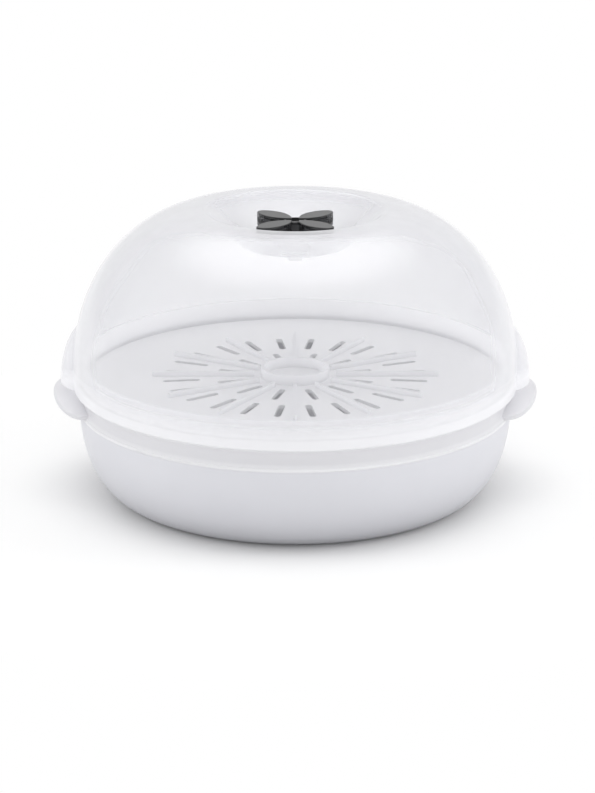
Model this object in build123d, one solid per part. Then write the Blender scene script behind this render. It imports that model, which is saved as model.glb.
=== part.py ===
from build123d import *
import os
from math import atan2, tan

# Microwave bottle sterilizer. Millimetres, +Z up, origin on the table under the middle of the base.
# +X points to the right-hand tab, and -Y points to the viewer.

# Running and seating clearances
SEAT_GAP = 0.5
HOLE_GAP = 0.3

# How far a cutter runs on past the faces it opens
CUT_PAST = 2.0

# Base bowl
BOWL_R = 126.5
BOWL_HEIGHT = 51.0
BOWL_FLAT_R = 98.0
BOWL_WALL = 3.4
BOWL_FLOOR = 3.2
FOOT_RING_WIDTH = 8.0
FOOT_RECESS = 1.2

# Rim of the base, from the bead up
BEAD_PROUD = 0.9
BEAD_HEIGHT = 2.4
COVE_DEPTH = 1.6
COVE_HEIGHT = 9.2
RIM_WALL = 2.2
RIM_HEIGHT = 18.0
LEDGE_DROP = 4.0

# Arched side tabs of the base
TAB_OUT = 15.3
TAB_HALF_WIDTH = 41.0
TAB_THICKNESS = 2.8
TAB_RISE = 6.0
TAB_END_DROP = 0.6
TAB_ROOT = 4.4
TAB_EDGE_ROUND = 1.1

# Bottle rack
RACK_FLOOR = 2.2
COLLAR_HEIGHT = 13.0
COLLAR_WALL = 1.8
COLLAR_FLARE = 0.6
COLLAR_LIP_ROUND = 0.7
SLOT_WIDTH = 4.0
OUTER_SLOTS = 24
OUTER_SLOT_START = 56.0
OUTER_SLOT_END = 78.0
INNER_SLOTS = 12
INNER_SLOT_START = 27.0
INNER_SLOT_END = 47.0
RACK_RIBS = 12
RIB_START = 24.0
RIB_END = 84.0
RIB_WIDTH = 2.0
RIB_HEIGHT = 3.0
RIB_END_ROUND = 0.9
HUB_R = 20.0
HUB_WALL = 2.0
HUB_HEIGHT = 6.0
STIFFENER_R = 51.5
STIFFENER_DEPTH = 5.0
STIFFENER_WALL = 2.0

# Lid
LID_OVERHANG = 3.3
LID_WALL = 2.2
LID_HEIGHT = 103.5
LID_EDGE_DROP = 4.8
LID_EDGE_ROUND = 0.9
LID_STRAIGHT = 11.7
CREST_FLAT = 0.5
SEAT_RIB_HEIGHT = 3.5
SEAT_OVERLAP = 1.0
DISH_TOP_R = 51.5
DISH_FLOOR_R = 28.5
DISH_DEPTH = 19.7
DISH_LIP_ROUND = 5.0
DISH_FLOOR_ROUND = 8.0
VENT_R = 2.2
VENT_COUNT = 4
VENT_CIRCLE_R = 18.5

# Side ears of the lid
EAR_OUT = 7.8
EAR_INSET = 18.8
EAR_CREST_R = 6.0
EAR_HEIGHT = 39.0
EAR_STRAIGHT = 2.0

# Knob
PETALS = 4
PETAL_REACH = 31.8
PETAL_ROOT = 3.0
PETAL_WIDTH = 13.0
PETAL_HEIGHT = 7.5
PETAL_TIP_ROUND = 4.0
PETAL_EDGE_ROUND = 0.5
KNOB_CORE_R = 7.3
SCOOP_R = 2.5
SCOOP_DEPTH = 1.7
SCOOP_BEND_R = 40.0
KNOB_TOP_DROP = 5.7
NECK_R = 8.0
NECK_WAIST = 1.6
BRIDGE_R = 6.2
BRIDGE_WIDTH = 1.0
BRIDGE_HEIGHT = 1.6
STEM_R = 4.6
STEM_FLAT = 3.6
STEM_TAIL = 6.0
GROOVE_DEPTH = 1.0

# Clip on the knob's stem
CLIP_R = 10.5
CLIP_THICKNESS = 1.8
CLIP_SLOTS = 6
CLIP_SLOT_WIDTH = 1.2
CLIP_SLOT_LENGTH = 3.2

# Heights and radii worked out from the values above
bead_base = BOWL_HEIGHT
bead_top = bead_base + BEAD_HEIGHT
cove_top = bead_top + COVE_HEIGHT
rim_top = bead_base + RIM_HEIGHT
ledge_z = rim_top - LEDGE_DROP
bowl_inner_r = BOWL_R - BOWL_WALL
tab_reach = BOWL_R + TAB_OUT

lid_r = BOWL_R + LID_OVERHANG
lid_inner_r = lid_r - LID_WALL
rim_outer_r = lid_inner_r - SEAT_GAP
rim_inner_r = rim_outer_r - RIM_WALL
rack_r = rim_inner_r - SEAT_GAP

lid_edge_z = rim_top - LID_EDGE_DROP
lid_top = lid_edge_z + LID_HEIGHT
dome_base_z = lid_edge_z + LID_STRAIGHT
dish_floor_z = lid_top - DISH_DEPTH
dish_underside_z = dish_floor_z - LID_WALL
dish_slope = atan2(DISH_DEPTH, DISH_TOP_R - DISH_FLOOR_R)
crest_r = DISH_TOP_R + DISH_LIP_ROUND * tan(dish_slope / 2) + CREST_FLAT

ear_reach = lid_r + EAR_OUT
ear_axis_x = lid_r - EAR_INSET

knob_top = lid_top - KNOB_TOP_DROP
petal_base = knob_top - PETAL_HEIGHT


def turned(edges, axis=Axis.Z):
    """Solid of revolution of a closed outline drawn in the XZ plane."""
    return revolve(make_face(Plane.XZ * Wire(edges)), axis)


def chain(*points):
    """Straight edges through points of the form (radius, height)."""
    return list(Polyline(*points).edges())


def around(shape, count, start=0.0):
    """Copies of a shape, evenly spaced about Z."""
    return [Rot(0, 0, start + index * 360 / count) * shape for index in range(count)]


def radial_slot(start, end, width, low, high):
    """Round-ended cutter along +X between two radii."""
    outline = Pos((start + end) / 2, 0, low) * SlotOverall(end - start, width)
    return extrude(outline, high - low)


def quarter_side(flat_r, floor_z, radius, top_z):
    """Quarter of an ellipse from (flat_r, floor_z), level there, to (radius, top_z), upright there."""
    return EllipticalCenterArc(
        (flat_r, top_z), radius - flat_r, top_z - floor_z, start_angle=-90, arc_size=90)


def bowl_shell():
    """Bowl, bead, cove, rim and ledge, turned in one piece."""
    bead_mid = (BOWL_R + BEAD_PROUD, (bead_base + bead_top) / 2)
    cove_mid = (rim_outer_r - COVE_DEPTH, (bead_top + cove_top) / 2)
    recess_r = BOWL_FLAT_R - FOOT_RING_WIDTH
    outline = [
        quarter_side(BOWL_FLAT_R, 0, BOWL_R, bead_base),
        ThreePointArc((BOWL_R, bead_base), bead_mid, (BOWL_R, bead_top)),
        ThreePointArc((BOWL_R, bead_top), cove_mid, (rim_outer_r, cove_top)),
        quarter_side(BOWL_FLAT_R, BOWL_FLOOR, bowl_inner_r, bead_base),
    ]
    outline += chain(
        (rim_outer_r, cove_top),
        (rim_outer_r, rim_top),
        (rim_inner_r, rim_top),
        (rim_inner_r, ledge_z),
        (bowl_inner_r, ledge_z),
        (bowl_inner_r, bead_base),
    )
    outline += chain(
        (BOWL_FLAT_R, BOWL_FLOOR),
        (0, BOWL_FLOOR),
        (0, FOOT_RECESS),
        (recess_r, FOOT_RECESS),
        (recess_r, 0),
        (BOWL_FLAT_R, 0),
    )
    return turned(outline)


def side_tab():
    """Right-hand tab: an ellipse in plan, arched upwards from the bead to its middle."""
    centre_x = BOWL_R - TAB_ROOT
    plan = Pos(centre_x, 0, 0) * Ellipse(tab_reach - centre_x, TAB_HALF_WIDTH)
    outline = extrude(plan, rim_top)
    half = TAB_THICKNESS / 2
    arch_r = (TAB_HALF_WIDTH ** 2 + TAB_RISE ** 2) / (2 * TAB_RISE)
    arch = Cylinder(arch_r + half, 2 * tab_reach) - Cylinder(arch_r - half, 2 * tab_reach)
    arch_z = bead_top - TAB_END_DROP + half + TAB_RISE - arch_r
    tab = outline & (Pos(centre_x, 0, arch_z) * Rot(0, 90, 0) * arch)
    long_edges = [edge for edge in tab.edges() if edge.length > TAB_HALF_WIDTH]
    return fillet(long_edges, TAB_EDGE_ROUND) - Cylinder(BOWL_R - BOWL_WALL / 2, 2 * rim_top)


def build_base():
    return Rot(0, 0, 90) * bowl_shell() + around(side_tab(), 2)


def build_rack():
    floor_top = ledge_z + RACK_FLOOR
    collar_top = floor_top + COLLAR_HEIGHT
    top_r = rack_r + COLLAR_FLARE
    tray = turned(chain(
        (0, ledge_z),
        (rack_r, ledge_z),
        (top_r, collar_top),
        (top_r - COLLAR_WALL, collar_top),
        (rack_r - COLLAR_WALL, floor_top),
        (0, floor_top),
        (0, ledge_z),
    ))
    lip = [edge for edge in tray.edges() if abs(edge.center().Z - collar_top) < 0.01]
    tray = fillet(lip, COLLAR_LIP_ROUND)
    rib = Pos((RIB_START + RIB_END) / 2, 0, floor_top + RIB_HEIGHT / 2) * Box(
        RIB_END - RIB_START, RIB_WIDTH, RIB_HEIGHT)
    rib = fillet(rib.edges().filter_by(Axis.Z), RIB_END_ROUND)
    hub = Pos(0, 0, floor_top + HUB_HEIGHT / 2) * (
        Cylinder(HUB_R, HUB_HEIGHT) - Cylinder(HUB_R - HUB_WALL, HUB_HEIGHT))
    stiffener = Pos(0, 0, ledge_z - STIFFENER_DEPTH / 2) * (
        Cylinder(STIFFENER_R + STIFFENER_WALL / 2, STIFFENER_DEPTH)
        - Cylinder(STIFFENER_R - STIFFENER_WALL / 2, STIFFENER_DEPTH))
    rack = tray + around(rib, RACK_RIBS) + hub + stiffener
    low = ledge_z - CUT_PAST
    high = floor_top + CUT_PAST
    outer_slot = radial_slot(OUTER_SLOT_START, OUTER_SLOT_END, SLOT_WIDTH, low, high)
    inner_slot = radial_slot(INNER_SLOT_START, INNER_SLOT_END, SLOT_WIDTH, low, high)
    slots = around(outer_slot, OUTER_SLOTS, 180 / OUTER_SLOTS)
    slots += around(inner_slot, INNER_SLOTS, 180 / INNER_SLOTS)
    return rack - slots


def wall_foot(radius, top, low):
    """Straight wall from a height down to a rounded lower edge, closed in to the axis."""
    edge_round = CenterArc((radius - LID_EDGE_ROUND, low + LID_EDGE_ROUND), LID_EDGE_ROUND, -90, 90)
    wall = Line((radius, top), (radius, low + LID_EDGE_ROUND))
    return [wall, edge_round, Line((radius - LID_EDGE_ROUND, low), (0, low))]


def dome_body(inset, low):
    """Everything under the lid's surface, moved inwards by inset, down to a height."""
    shift = inset * tan(dish_slope / 2)
    top = lid_top - inset
    floor_z = dish_floor_z - inset
    radius = lid_r - inset
    dish_corners = [(0, floor_z), (DISH_FLOOR_R + shift, floor_z), (DISH_TOP_R + shift, top), (crest_r, top)]
    rounds = [DISH_FLOOR_ROUND + inset, DISH_LIP_ROUND - inset]
    dish = FilletPolyline(*dish_corners, radius=rounds)
    side = EllipticalCenterArc(
        (crest_r, dome_base_z), radius - crest_r, top - dome_base_z, start_angle=0, arc_size=90)
    axis_line = Line((0, low), (0, floor_z))
    return turned(list(dish.edges()) + [side] + wall_foot(radius, dome_base_z, low) + [axis_line])


def ear_body(inset, low):
    """Right-hand ear as a body of revolution about its own upright axis."""
    reach = ear_reach - ear_axis_x - EAR_CREST_R - inset
    base = lid_edge_z + EAR_STRAIGHT
    top = lid_edge_z + EAR_HEIGHT - inset
    side = EllipticalCenterArc((EAR_CREST_R, base), reach, top - base, start_angle=0, arc_size=90)
    crown = chain((EAR_CREST_R, top), (0, top), (0, low))
    return Pos(ear_axis_x, 0, 0) * turned([side] + crown + wall_foot(EAR_CREST_R + reach, base, low))


def stem_section(gap):
    """Round section with two flats, which keeps the knob from turning."""
    return Circle(STEM_R + gap) & Rectangle(4 * STEM_R, 2 * (STEM_FLAT + gap))


def build_lid():
    ear = ear_body(0, lid_edge_z)
    outer = dome_body(0, lid_edge_z) + ear + mirror(ear, Plane.YZ)
    ear = ear_body(LID_WALL, lid_edge_z - CUT_PAST)
    ear_hollows = [ear, mirror(ear, Plane.YZ)]
    seat_inner_r = rim_outer_r - SEAT_OVERLAP
    root_r = lid_inner_r + LID_WALL / 2
    seat_rib = turned(chain(
        (seat_inner_r, rim_top),
        (root_r, rim_top),
        (root_r, rim_top + SEAT_RIB_HEIGHT),
        (lid_inner_r, rim_top + SEAT_RIB_HEIGHT),
        (seat_inner_r, rim_top),
    ))
    shell = outer - dome_body(LID_WALL, lid_edge_z - CUT_PAST)
    shell = shell + seat_rib - ear_hollows
    cut_low = dish_underside_z - CUT_PAST
    cut_height = LID_WALL + 2 * CUT_PAST
    stem_hole = extrude(Pos(0, 0, cut_low) * stem_section(HOLE_GAP), cut_height)
    vent = Pos(VENT_CIRCLE_R, 0, cut_low + cut_height / 2) * Cylinder(VENT_R, cut_height)
    return shell - stem_hole - around(vent, VENT_COUNT, 180 / VENT_COUNT)


def petal():
    """One leaf along +X with flat faces and a scoop along each side."""
    middle = (PETAL_ROOT + PETAL_REACH) / 2
    half_length = (PETAL_REACH - PETAL_ROOT) / 2
    half_width = PETAL_WIDTH / 2
    sides = [
        ThreePointArc((PETAL_ROOT, 0), (middle, half_width), (PETAL_REACH, 0)),
        ThreePointArc((PETAL_REACH, 0), (middle, -half_width), (PETAL_ROOT, 0)),
    ]
    leaf = extrude(Pos(0, 0, petal_base) * make_face(Wire(sides)), PETAL_HEIGHT)
    tip = leaf.edges().filter_by(Axis.Z).sort_by(Axis.X)[-1]
    leaf = fillet(tip, PETAL_TIP_ROUND)
    faces = [edge for edge in leaf.edges() if edge.center().Z > knob_top - 0.01]
    leaf = fillet(faces, PETAL_EDGE_ROUND)
    scoop = Torus(SCOOP_BEND_R, SCOOP_R)
    scoop_y = half_width - SCOOP_DEPTH + SCOOP_R - SCOOP_BEND_R
    mid_z = petal_base + PETAL_HEIGHT / 2
    for side in (1, -1):
        leaf -= Pos(middle, side * scoop_y, mid_z) * scoop
    return leaf


def build_knob():
    neck_mid = (NECK_R - NECK_WAIST, (dish_floor_z + petal_base) / 2)
    waist = ThreePointArc((NECK_R, dish_floor_z), neck_mid, (NECK_R, petal_base))
    neck = turned([waist] + chain(
        (NECK_R, petal_base), (KNOB_CORE_R, knob_top - BRIDGE_HEIGHT), (0, knob_top - BRIDGE_HEIGHT),
        (0, dish_floor_z), (NECK_R, dish_floor_z)))
    bridge = Pos(0, 0, knob_top - PETAL_EDGE_ROUND - BRIDGE_HEIGHT / 2) * (
        Cylinder(BRIDGE_R, BRIDGE_HEIGHT) - Cylinder(BRIDGE_R - BRIDGE_WIDTH, BRIDGE_HEIGHT))
    tail_z = dish_underside_z - CLIP_THICKNESS - STEM_TAIL
    stem = extrude(Pos(0, 0, tail_z) * stem_section(0), dish_floor_z - tail_z)
    groove_z = dish_underside_z - CLIP_THICKNESS
    groove = Pos(0, 0, groove_z + CLIP_THICKNESS / 2) * (
        Cylinder(2 * STEM_R, CLIP_THICKNESS) - Cylinder(STEM_R - GROOVE_DEPTH, CLIP_THICKNESS))
    knob = neck + around(petal(), PETALS, 180 / PETALS) + bridge + stem
    return knob - groove


def build_clip():
    """Flat ring in the stem's groove, with spring slots out from its bore."""
    bore_r = STEM_R - GROOVE_DEPTH
    low = dish_underside_z - CLIP_THICKNESS
    ring = Pos(0, 0, low + CLIP_THICKNESS / 2) * (
        Cylinder(CLIP_R, CLIP_THICKNESS) - Cylinder(bore_r, CLIP_THICKNESS))
    slot = radial_slot(
        bore_r - CLIP_SLOT_WIDTH, bore_r + CLIP_SLOT_LENGTH, CLIP_SLOT_WIDTH,
        low - CUT_PAST, low + CLIP_THICKNESS + CUT_PAST)
    return ring - around(slot, CLIP_SLOTS, 180 / CLIP_SLOTS)


os.makedirs("parts", exist_ok=True)
NODES = {
    "base_bowl": build_base(),
    "bottle_rack": build_rack(),
    "lid_dome": build_lid(),
    "lid_knob": build_knob(),
    "knob_clip": build_clip(),
}
for name, shape in NODES.items():
    export_step(shape, f"parts/{name}.step")
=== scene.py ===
from math import cos, radians, sin

import bpy
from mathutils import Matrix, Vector

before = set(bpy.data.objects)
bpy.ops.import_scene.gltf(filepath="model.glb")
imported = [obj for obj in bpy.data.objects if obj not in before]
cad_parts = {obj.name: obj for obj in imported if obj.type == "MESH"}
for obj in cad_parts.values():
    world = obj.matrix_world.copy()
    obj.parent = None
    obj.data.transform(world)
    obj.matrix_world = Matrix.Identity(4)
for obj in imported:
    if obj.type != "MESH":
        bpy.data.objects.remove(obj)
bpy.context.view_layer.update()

scene = bpy.context.scene
scene.view_settings.view_transform = "Standard"

# Camera: a long lens looking slightly down at the rim
SENSOR = 0.036
FOCAL_PX = 2585.0
PHOTO_W = 595.0
DISTANCE = 1.524
ELEVATION = radians(17.7)
RIM_Z = 0.0515
SHIFT = (0.0039, 0.0084)

aim = Vector((0.0, 0.0, RIM_Z))
camera_data = bpy.data.cameras.new("camera")
camera_data.sensor_fit = "HORIZONTAL"
camera_data.sensor_width = SENSOR * 1000
camera_data.lens = FOCAL_PX / PHOTO_W * SENSOR * 1000
camera_data.shift_x, camera_data.shift_y = SHIFT
camera_data.clip_end = 50.0
camera = bpy.data.objects.new("camera", camera_data)
camera.location = aim + DISTANCE * Vector((0.0, -cos(ELEVATION), sin(ELEVATION)))
camera.rotation_euler = (aim - camera.location).to_track_quat("-Z", "Y").to_euler()
scene.collection.objects.link(camera)
scene.camera = camera


# Noise as its scale and detail: clouds of colour, patches of uneven polish, and orange peel
CLOUD = (18.0, 4.0)
POLISH = (60.0, 3.0)
GRAIN = (420.0, 2.0)
GRAIN_DEPTH = 0.00002
# Most of the noise lies between these values
NOISE_SPAN = (0.3, 0.7)


class Nodes:
    """Short calls for building one node tree."""

    def __init__(self, tree):
        self.tree = tree
        tree.nodes.clear()

    def add(self, kind, **values):
        node = self.tree.nodes.new(kind)
        for name, value in values.items():
            setattr(node, name, value)
        return node

    def link(self, source, target):
        self.tree.links.new(source, target)

    def put(self, socket, value):
        """A number, colour or vector is set on the socket, and an output is linked to it."""
        if isinstance(value, bpy.types.NodeSocket):
            self.link(value, socket)
        else:
            socket.default_value = value

    def math(self, operation, *values, clamp=False):
        node = self.add("ShaderNodeMath", operation=operation, use_clamp=clamp)
        for socket, value in zip(node.inputs, values):
            self.put(socket, value)
        return node.outputs[0]

    def place(self):
        """Point on the object, in its own coordinates."""
        return self.add("ShaderNodeTexCoord").outputs["Object"]

    def split(self, vector):
        node = self.add("ShaderNodeSeparateXYZ")
        self.link(vector, node.inputs[0])
        return node.outputs

    def noise(self, scale, detail):
        node = self.add("ShaderNodeTexNoise")
        self.link(self.place(), node.inputs["Vector"])
        node.inputs["Scale"].default_value = scale
        node.inputs["Detail"].default_value = detail
        return node.outputs["Fac"]

    def remap(self, value, start, end, first, last, **values):
        """From first at start to last at end, and flat beyond them."""
        node = self.add("ShaderNodeMapRange", **values)
        self.link(value, node.inputs["Value"])
        node.inputs["From Min"].default_value = start
        node.inputs["From Max"].default_value = end
        node.inputs["To Min"].default_value = first
        node.inputs["To Max"].default_value = last
        return node.outputs["Result"]

    def spread(self, fac, low, high):
        return self.remap(fac, *NOISE_SPAN, low, high)

    def tones(self, fac, dark, light, start, end):
        ramp = self.add("ShaderNodeValToRGB")
        first, last = ramp.color_ramp.elements
        first.position, last.position = start, end
        first.color, last.color = (*dark, 1.0), (*light, 1.0)
        self.link(fac, ramp.inputs["Fac"])
        return ramp.outputs["Color"]

    def bump(self, height, distance):
        node = self.add("ShaderNodeBump")
        node.inputs["Distance"].default_value = distance
        self.link(height, node.inputs["Height"])
        return node.outputs["Normal"]

    def mix(self, fac, first, second):
        node = self.add("ShaderNodeMixShader")
        self.put(node.inputs[0], fac)
        self.link(first, node.inputs[1])
        self.link(second, node.inputs[2])
        return node.outputs[0]

    def bsdf(self, kind, color):
        node = self.add(kind)
        node.inputs["Color"].default_value = (*color, 1.0)
        return node

    def moulded(self, rough, grain, grain_depth):
        """Plastic with an uneven polish and a fine orange peel, without its colour."""
        node = self.add("ShaderNodeBsdfPrincipled")
        self.link(self.spread(self.noise(*POLISH), *rough), node.inputs["Roughness"])
        self.link(self.bump(self.noise(*grain), grain_depth), node.inputs["Normal"])
        return node

    def plastic(self, dark, light, rough, grain=GRAIN):
        """Moulded plastic with a faint cloudy colour."""
        node = self.moulded(rough, grain, GRAIN_DEPTH)
        cloud = self.tones(self.noise(*CLOUD), dark, light, *NOISE_SPAN)
        self.link(cloud, node.inputs["Base Color"])
        return node

    def seen(self):
        """1 for rays that show a surface: direct, reflected or through a clear piece."""
        path = self.add("ShaderNodeLightPath").outputs
        shown = self.math("MAXIMUM", path["Is Camera Ray"], path["Is Glossy Ray"])
        return self.math("MAXIMUM", shown, path["Is Transmission Ray"])

    def finish(self, surface, output="ShaderNodeOutputMaterial"):
        self.link(surface, self.add(output).inputs["Surface"])


def material(name):
    made = bpy.data.materials.new(name)
    made.use_nodes = True
    return made, Nodes(made.node_tree)


# Heights on the base, rack, lid and knob where the finish changes, and distances out on the ears
BEAD_LOW_Z, BEAD_CREST_Z, BEAD_END_Z = 0.0507, 0.0518, 0.0555
COLLAR_BASE_Z = 0.0675
SKIRT_MILKY_Z, SKIRT_CLEAR_Z = 0.070, 0.079
EAR_CLEAR_X, EAR_MILKY_X = 0.122, 0.132
LEAF_BASE_Z = 0.1543

# Darkest and lightest tone of each plastic, and its least and most roughness
SATIN = (0.30, 0.42)
BOWL_WHITE = ((0.735, 0.738, 0.78), (0.755, 0.758, 0.80), SATIN)
# Painted shade: the greyer tone of the hollow band above the bead, under the lid's edge
COVE_PAINTED_SHADE = ((0.725, 0.722, 0.752), (0.745, 0.742, 0.770), SATIN)
# Painted highlight: the brighter tone along the top of the bead
CREST_PAINTED_HIGHLIGHT = ((0.87, 0.87, 0.89), (0.89, 0.89, 0.91), SATIN)
RACK_MILKY = ((0.90, 0.90, 0.92), (0.93, 0.93, 0.945), (0.34, 0.46))
LID_FROST = ((0.90, 0.90, 0.93), (0.92, 0.92, 0.945), SATIN)
LEAF_DARK = ((0.016, 0.016, 0.017), (0.024, 0.024, 0.026), (0.10, 0.20))
STEM_WHITE = ((0.80, 0.80, 0.82), (0.84, 0.84, 0.86), SATIN)
CLIP_WHITE = ((0.74, 0.74, 0.76), (0.78, 0.78, 0.80), SATIN)

# Light that passes through the rack: its share in the floor, and what the thin collar adds
RACK_GLOW = (0.98, 0.98, 0.99)
FLOOR_GLOW, COLLAR_GLOW = 0.25, 0.6

# Lid: its mirror and its haze, each as least share, what edge-on faces add, and how late they add it
LID_CLEAR = (0.98, 0.98, 0.986)
LID_GLOSS = (0.97, 0.97, 0.98)
GLOSS_POLISH = (40.0, 3.0)
GLOSS_RIPPLE = (60.0, 2.0)
GLOSS_ROUGH = (0.12, 0.19)
MIRROR_LEAST, MIRROR_EDGE, MIRROR_POWER = 0.04, 0.9, 5.0
HAZE_LEAST, HAZE_EDGE, HAZE_POWER = 0.12, 1.1, 3.0
HAZE_CLOUD = (30.0, 3.0)
HAZE_SPREAD = (0.92, 1.08)
HAZE_RIPPLE = (90.0, 2.0)
HAZE_TONES = ((0.78, 0.78, 0.81), (0.79, 0.79, 0.82), 0.1, 0.65)
HAZE_ROUGH = (0.10, 0.18)
SKIRT_FROST, EAR_FROST = 0.85, 0.3
RIPPLE_DEPTH = 0.00003

LEAF_SHINE = 0.42
LEAF_GRAIN = (700.0, 2.0)


def base_plastic():
    """White plastic, with a painted highlight along the top of the bead and painted shade, a little
    greyer, in the hollow band above it under the lid's edge.
    """
    made, nodes = material("white_plastic")
    height = nodes.split(nodes.place())["Z"]
    bowl = nodes.plastic(*BOWL_WHITE)
    # Painted shade in the hollow band above the bead
    cove_shade = nodes.plastic(*COVE_PAINTED_SHADE)
    # Painted highlight along the top of the bead
    crest_highlight = nodes.plastic(*CREST_PAINTED_HIGHLIGHT)
    near_crest = nodes.remap(height, BEAD_END_Z, BEAD_CREST_Z, 0.0, 1.0)
    rim = nodes.mix(near_crest, cove_shade.outputs[0], crest_highlight.outputs[0])
    upper = nodes.remap(height, BEAD_LOW_Z, BEAD_CREST_Z, 0.0, 1.0)
    nodes.finish(nodes.mix(upper, bowl.outputs[0], rim))
    return made


def rack_plastic():
    """Milky plastic, which passes more light in the thin collar than in the ribbed floor."""
    made, nodes = material("milky_plastic")
    body = nodes.plastic(*RACK_MILKY)
    glow = nodes.bsdf("ShaderNodeBsdfTranslucent", RACK_GLOW)
    collar = nodes.math("GREATER_THAN", nodes.split(nodes.place())["Z"], COLLAR_BASE_Z)
    share = nodes.math("MULTIPLY_ADD", collar, COLLAR_GLOW, FLOOR_GLOW)
    nodes.finish(nodes.mix(share, body.outputs[0], glow.outputs[0]))
    return made


def lid_plastic():
    """Clear plastic with a grey haze that turns milky edge on, and in the skirt and the ears."""
    made, nodes = material("clear_plastic")
    edge = nodes.add("ShaderNodeLayerWeight").outputs["Facing"]

    clear = nodes.bsdf("ShaderNodeBsdfTransparent", LID_CLEAR)
    gloss = nodes.bsdf("ShaderNodeBsdfGlossy", LID_GLOSS)
    nodes.link(nodes.spread(nodes.noise(*GLOSS_POLISH), *GLOSS_ROUGH), gloss.inputs["Roughness"])
    nodes.link(nodes.bump(nodes.noise(*GLOSS_RIPPLE), RIPPLE_DEPTH), gloss.inputs["Normal"])
    late = nodes.math("POWER", edge, MIRROR_POWER)
    mirror = nodes.math("MULTIPLY_ADD", late, MIRROR_EDGE, MIRROR_LEAST)
    body = nodes.mix(mirror, clear.outputs[0], gloss.outputs[0])

    milk = nodes.moulded(HAZE_ROUGH, HAZE_RIPPLE, RIPPLE_DEPTH)
    nodes.link(nodes.tones(edge, *HAZE_TONES), milk.inputs["Base Color"])
    late = nodes.math("POWER", edge, HAZE_POWER)
    haze = nodes.math("MULTIPLY_ADD", late, HAZE_EDGE, HAZE_LEAST)
    cloud = nodes.spread(nodes.noise(*HAZE_CLOUD), *HAZE_SPREAD)
    haze = nodes.math("MULTIPLY", haze, cloud, clamp=True)
    body = nodes.mix(haze, body, milk.outputs[0])

    frost = nodes.plastic(*LID_FROST)
    place = nodes.split(nodes.place())
    skirt = nodes.remap(place["Z"], SKIRT_CLEAR_Z, SKIRT_MILKY_Z, 0.0, SKIRT_FROST)
    sideways = nodes.math("ABSOLUTE", place["X"])
    ears = nodes.remap(sideways, EAR_CLEAR_X, EAR_MILKY_X, 0.0, EAR_FROST)
    body = nodes.mix(nodes.math("MAXIMUM", skirt, ears), body, frost.outputs[0])

    # The lid lets all the light through to what is below it
    through = nodes.add("ShaderNodeBsdfTransparent").outputs[0]
    path = nodes.add("ShaderNodeLightPath").outputs
    body = nodes.mix(path["Is Diffuse Ray"], body, through)
    nodes.finish(nodes.mix(path["Is Shadow Ray"], body, through))
    return made


def knob_plastic():
    """Dark glossy leaves on a white stem."""
    made, nodes = material("dark_plastic")
    leaves = nodes.plastic(*LEAF_DARK, LEAF_GRAIN)
    leaves.inputs["Specular IOR Level"].default_value = LEAF_SHINE
    stem = nodes.plastic(*STEM_WHITE)
    upper = nodes.math("GREATER_THAN", nodes.split(nodes.place())["Z"], LEAF_BASE_Z)
    nodes.finish(nodes.mix(upper, stem.outputs[0], leaves.outputs[0]))
    return made


def clip_plastic():
    made, nodes = material("clip_plastic")
    nodes.finish(nodes.plastic(*CLIP_WHITE).outputs[0])
    return made


FINISHES = {
    "base_bowl": base_plastic(),
    "bottle_rack": rack_plastic(),
    "lid_dome": lid_plastic(),
    "lid_knob": knob_plastic(),
    "knob_clip": clip_plastic(),
}
for name, finish in FINISHES.items():
    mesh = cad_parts[name].data
    mesh.materials.clear()
    mesh.materials.append(finish)

# Floor that fades into a white background and keeps the shadow
FLOOR_SIZE = 16.0
corner = FLOOR_SIZE / 2
floor_mesh = bpy.data.meshes.new("floor")
floor_mesh.from_pydata(
    [(-corner, -corner, 0.0), (corner, -corner, 0.0), (corner, corner, 0.0), (-corner, corner, 0.0)],
    [], [(0, 1, 2, 3)])
floor = bpy.data.objects.new("floor", floor_mesh)
scene.collection.objects.link(floor)
FADE_START, FADE_END = 0.12, 0.30
# The grey close to the object is painted shade in the light the floor throws back on it
BOUNCE_PAINTED_SHADE, OPEN_GREY = (0.45, 0.45, 0.45), (0.98, 0.98, 0.98)
UNDER_END, OPEN_START = 0.115, 0.19
made, nodes = material("floor")
away = nodes.add("ShaderNodeVectorMath", operation="LENGTH")
nodes.link(nodes.place(), away.inputs[0])
away = away.outputs["Value"]
bright = nodes.bsdf("ShaderNodeBsdfDiffuse", (1.0, 1.0, 1.0))
white = nodes.add("ShaderNodeEmission")
far = nodes.remap(away, FADE_START, FADE_END, 0.0, 1.0)
shown = nodes.mix(far, bright.outputs[0], white.outputs[0])
# Painted shade: what it throws back on the object is painted darker close to it, standing in for the
# object's shadow there
matte = nodes.add("ShaderNodeBsdfDiffuse")
shade_near = nodes.remap(away, UNDER_END, OPEN_START, 0.0, 1.0)
nodes.link(nodes.tones(shade_near, BOUNCE_PAINTED_SHADE, OPEN_GREY, 0.0, 1.0), matte.inputs["Color"])
nodes.finish(nodes.mix(nodes.seen(), matte.outputs[0], shown))
floor_mesh.materials.append(made)

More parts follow.
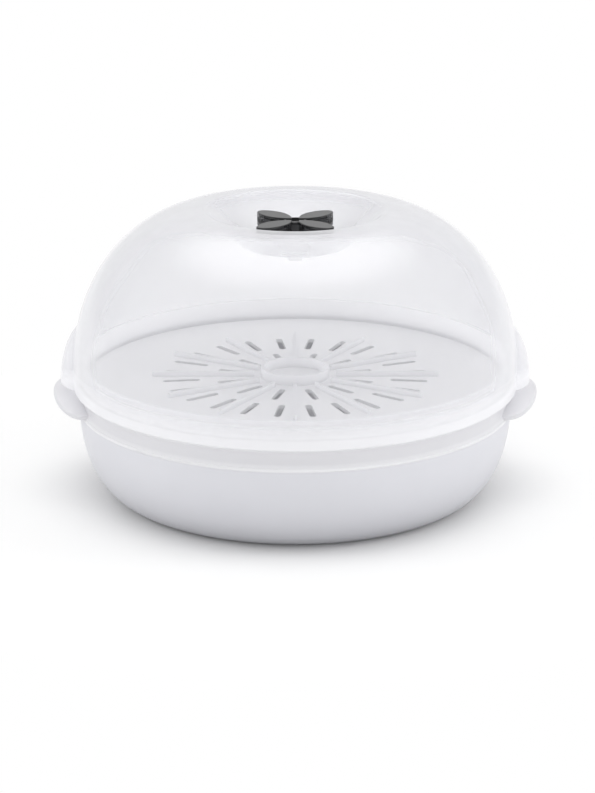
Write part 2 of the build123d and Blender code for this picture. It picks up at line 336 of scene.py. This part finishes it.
# Studio: white all round as seen and reflected, with a soft panel overhead in the reflections,
# and a little less light from the front
FRONT_LIGHT, BACK_LIGHT = 0.86, 1.03
FRONT_Y, BACK_Y = -0.9, 0.1
PANEL_DIRECTION = (0.0, 0.35, 0.937)
PANEL_STRENGTH = 2.6
PANEL_EDGE = 0.75
world = bpy.data.worlds.new("studio")
scene.world = world
world.use_nodes = True
nodes = Nodes(world.node_tree)
toward = nodes.add("ShaderNodeTexCoord").outputs["Generated"]
level = nodes.remap(nodes.split(toward)["Y"], FRONT_Y, BACK_Y, FRONT_LIGHT, BACK_LIGHT)
soft = nodes.add("ShaderNodeBackground")
nodes.link(level, soft.inputs["Strength"])
overhead = nodes.add("ShaderNodeVectorMath", operation="DOT_PRODUCT")
nodes.link(toward, overhead.inputs[0])
overhead.inputs[1].default_value = PANEL_DIRECTION
panel = nodes.remap(
    overhead.outputs["Value"], PANEL_EDGE, 1.0, 0.0, PANEL_STRENGTH, interpolation_type="SMOOTHSTEP")
reflected = nodes.add("ShaderNodeLightPath").outputs["Is Glossy Ray"]
white = nodes.add("ShaderNodeBackground")
nodes.link(nodes.math("MULTIPLY_ADD", reflected, panel, 1.0), white.inputs["Strength"])
nodes.finish(nodes.mix(nodes.seen(), soft.outputs[0], white.outputs[0]), "ShaderNodeOutputWorld")

LAMP_AIM = Vector((0.0, 0.0, 0.08))


def soft_box(name, place, size, watts):
    """Square lamp that faces the object and stays out of its reflections."""
    lamp = bpy.data.lights.new(name, "AREA")
    lamp.shape = "RECTANGLE"
    lamp.size, lamp.size_y = size
    lamp.energy = watts
    holder = bpy.data.objects.new(name, lamp)
    holder.location = place
    holder.rotation_euler = (LAMP_AIM - Vector(place)).to_track_quat("-Z", "Y").to_euler()
    holder.visible_glossy = False
    scene.collection.objects.link(holder)


soft_box("top_box", (0.0, -0.1, 1.5), (1.0, 0.8), 4.0)
soft_box("front_box", (0.0, -1.3, 0.12), (0.9, 0.3), 1.3)
soft_box("left_box", (-1.3, -0.1, 0.55), (0.5, 0.9), 2.2)
soft_box("right_box", (1.3, -0.1, 0.55), (0.5, 0.9), 3.2)
